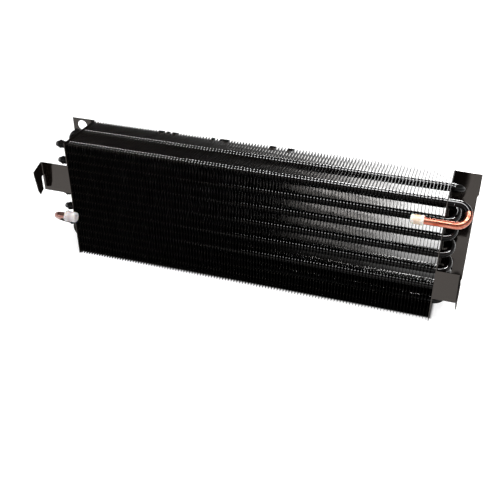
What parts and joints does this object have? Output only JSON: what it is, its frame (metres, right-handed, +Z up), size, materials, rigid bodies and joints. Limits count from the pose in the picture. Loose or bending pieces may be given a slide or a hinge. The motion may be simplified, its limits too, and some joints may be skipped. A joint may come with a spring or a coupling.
{
  "type": "evaporator coil",
  "caption": "Long fin-and-tube evaporator coil with folded black end plates, front hook brackets and two capped copper connection tubes.",
  "frame": {"origin": "middle of the base of the bounding box, which is the plane of the end plates' lower edges", "axes": "+X along the coil towards the end with the inlet connection, +Y from the front face with the hooks to the back, +Z up"},
  "size_m": [0.6152, 0.1322, 0.185],
  "materials": {
    "black_fin": "black coated, semi-gloss",
    "black_coat": "black coated, glossy",
    "black_tube": "black coated copper, glossy",
    "bare_copper": "bare copper, bright",
    "cap_plastic": "off-white, satin"
  },
  "bodies": {
    "root": {"fin_stack": "black_fin", "end_plate_left": "black_coat", "end_plate_right": "black_coat", "hairpin_01": "black_tube", "hairpin_02": "black_tube", "hairpin_03": "black_tube", "hairpin_04": "black_tube", "hairpin_05": "black_tube", "hairpin_06": "black_tube", "hairpin_07": "black_tube", "hairpin_08": "black_tube", "hairpin_09": "black_tube", "hairpin_10": "black_tube", "hairpin_11": "black_tube", "hairpin_12": "black_tube", "hairpin_13": "black_tube", "return_bend_01": "black_tube", "return_bend_02": "black_tube", "return_bend_03": "black_tube", "return_bend_04": "black_tube", "return_bend_05": "black_tube", "return_bend_06": "black_tube", "return_bend_07": "black_tube", "return_bend_08": "black_tube", "return_bend_09": "black_tube", "return_bend_10": "black_tube", "return_bend_11": "black_tube", "return_bend_12": "black_tube", "return_bend_13": "black_tube", "inlet_leg": "black_tube", "inlet_tube": "bare_copper", "inlet_cap": "cap_plastic", "outlet_tube": "bare_copper", "outlet_cap": "cap_plastic"}
  },
  "joints": []
}
